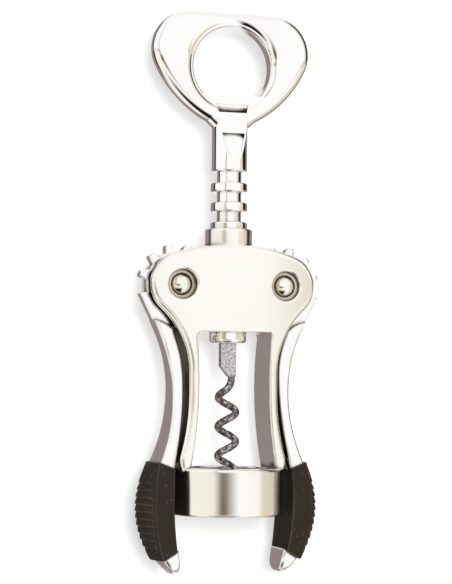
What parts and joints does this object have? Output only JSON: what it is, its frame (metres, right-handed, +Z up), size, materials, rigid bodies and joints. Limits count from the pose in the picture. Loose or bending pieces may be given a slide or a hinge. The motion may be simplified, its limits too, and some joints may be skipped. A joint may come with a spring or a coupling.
{
  "type": "lever corkscrew",
  "caption": "Lever corkscrew: a bell frame holds a ringed spindle with a worm below and a cap opener above, raised by toothed levers with ribbed grips.",
  "frame": {"origin": "middle of the bell's lower rim, on the spindle's axis", "axes": "+Z up the spindle towards the handle, +X to the right lever, the front with the rivets faces -Y"},
  "size_m": [0.0602, 0.036, 0.1792],
  "materials": {
    "satin_nickel": "satin nickel plate on a casting, fine upright brush marks",
    "bright_chrome": "polished chrome plate on a casting",
    "rivet_steel": "nickel-plated, pressed domed heads",
    "bush_nylon": "plain natural nylon",
    "black_grip": "moulded, fine grain",
    "worm_steel": "drawn wire, dull and slightly pitted",
    "pin_steel": "plain"
  },
  "bodies": {
    "frame": {"frame_body": "satin_nickel", "left_pivot_rivet": "rivet_steel", "right_pivot_rivet": "rivet_steel"},
    "left_lever": {"left_lever": "bright_chrome", "left_grip": "black_grip"},
    "right_lever": {"right_lever": "bright_chrome", "right_grip": "black_grip"},
    "guide_bush": {"guide_bush": "bush_nylon"},
    "spindle": {"handle_spindle": "bright_chrome", "worm": "worm_steel", "worm_cross_pin": "pin_steel"}
  },
  "joints": [
    {"name": "left_lever_swing", "type": "hinge", "parent": "frame", "child": "left_lever", "pos_m": [-0.0173, 0, 0.073], "axis": [0, 1, 0], "range_deg": [0, 150]},
    {"name": "right_lever_swing", "type": "hinge", "parent": "frame", "child": "right_lever", "pos_m": [0.0173, 0, 0.073], "axis": [0, -1, 0], "range_deg": [0, 150]},
    {"name": "handle_spin", "type": "hinge", "parent": "frame", "child": "guide_bush", "pos_m": [0, 0, 0.0877], "axis": [0, 0, 1], "continuous": true},
    {"name": "rack_slide", "type": "slide", "parent": "guide_bush", "child": "spindle", "axis": [0, 0, -1], "range_m": [0, 0.0315]}
  ],
  "couplings": [
    {"joint": "right_lever_swing", "follows": "left_lever_swing", "ratio": 1},
    {"joint": "rack_slide", "follows": "left_lever_swing", "m_per_rad": 0.012}
  ]
}
